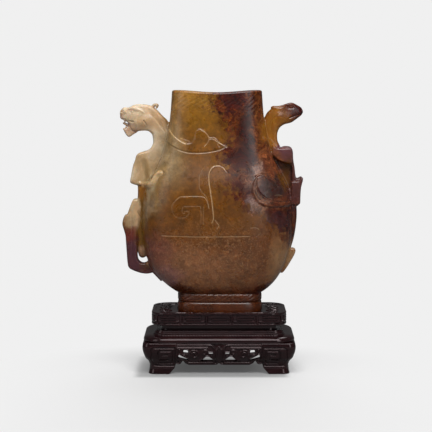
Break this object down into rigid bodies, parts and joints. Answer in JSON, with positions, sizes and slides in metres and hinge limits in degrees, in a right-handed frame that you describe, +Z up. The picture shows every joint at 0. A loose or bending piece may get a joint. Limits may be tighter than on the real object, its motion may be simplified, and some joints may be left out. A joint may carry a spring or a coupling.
{
  "type": "carved vase on stand",
  "caption": "Flattened jade vase with a carved dragon climbing each narrow side, standing in the shallow seat of a pierced hardwood stand that it lifts out of.",
  "frame": {"origin": "on the table top under the four feet, below the middle of the whole object's width and depth; the stand's own middle is 5 mm to the +X side of it", "axes": "+Z up; the broad front faces -Y; +X is the viewer's right, the side of the dragon with the closed mouth"},
  "size_m": [0.1238, 0.0636, 0.1903],
  "materials": {
    "jade": "gloss",
    "hardwood": "gloss"
  },
  "bodies": {
    "stand": {"top_board": "hardwood", "waist_frame": "hardwood", "shoulder_frame": "hardwood", "apron_front": "hardwood", "apron_back": "hardwood", "apron_left": "hardwood", "apron_right": "hardwood", "leg_front_left": "hardwood", "leg_front_right": "hardwood", "leg_back_left": "hardwood", "leg_back_right": "hardwood"},
    "vase": {"jade_vase": "jade"}
  },
  "joints": [
    {"name": "vase_lift", "type": "slide", "parent": "stand", "child": "vase", "axis": [0, 0, 1], "range_m": [0, 0.03]}
  ]
}
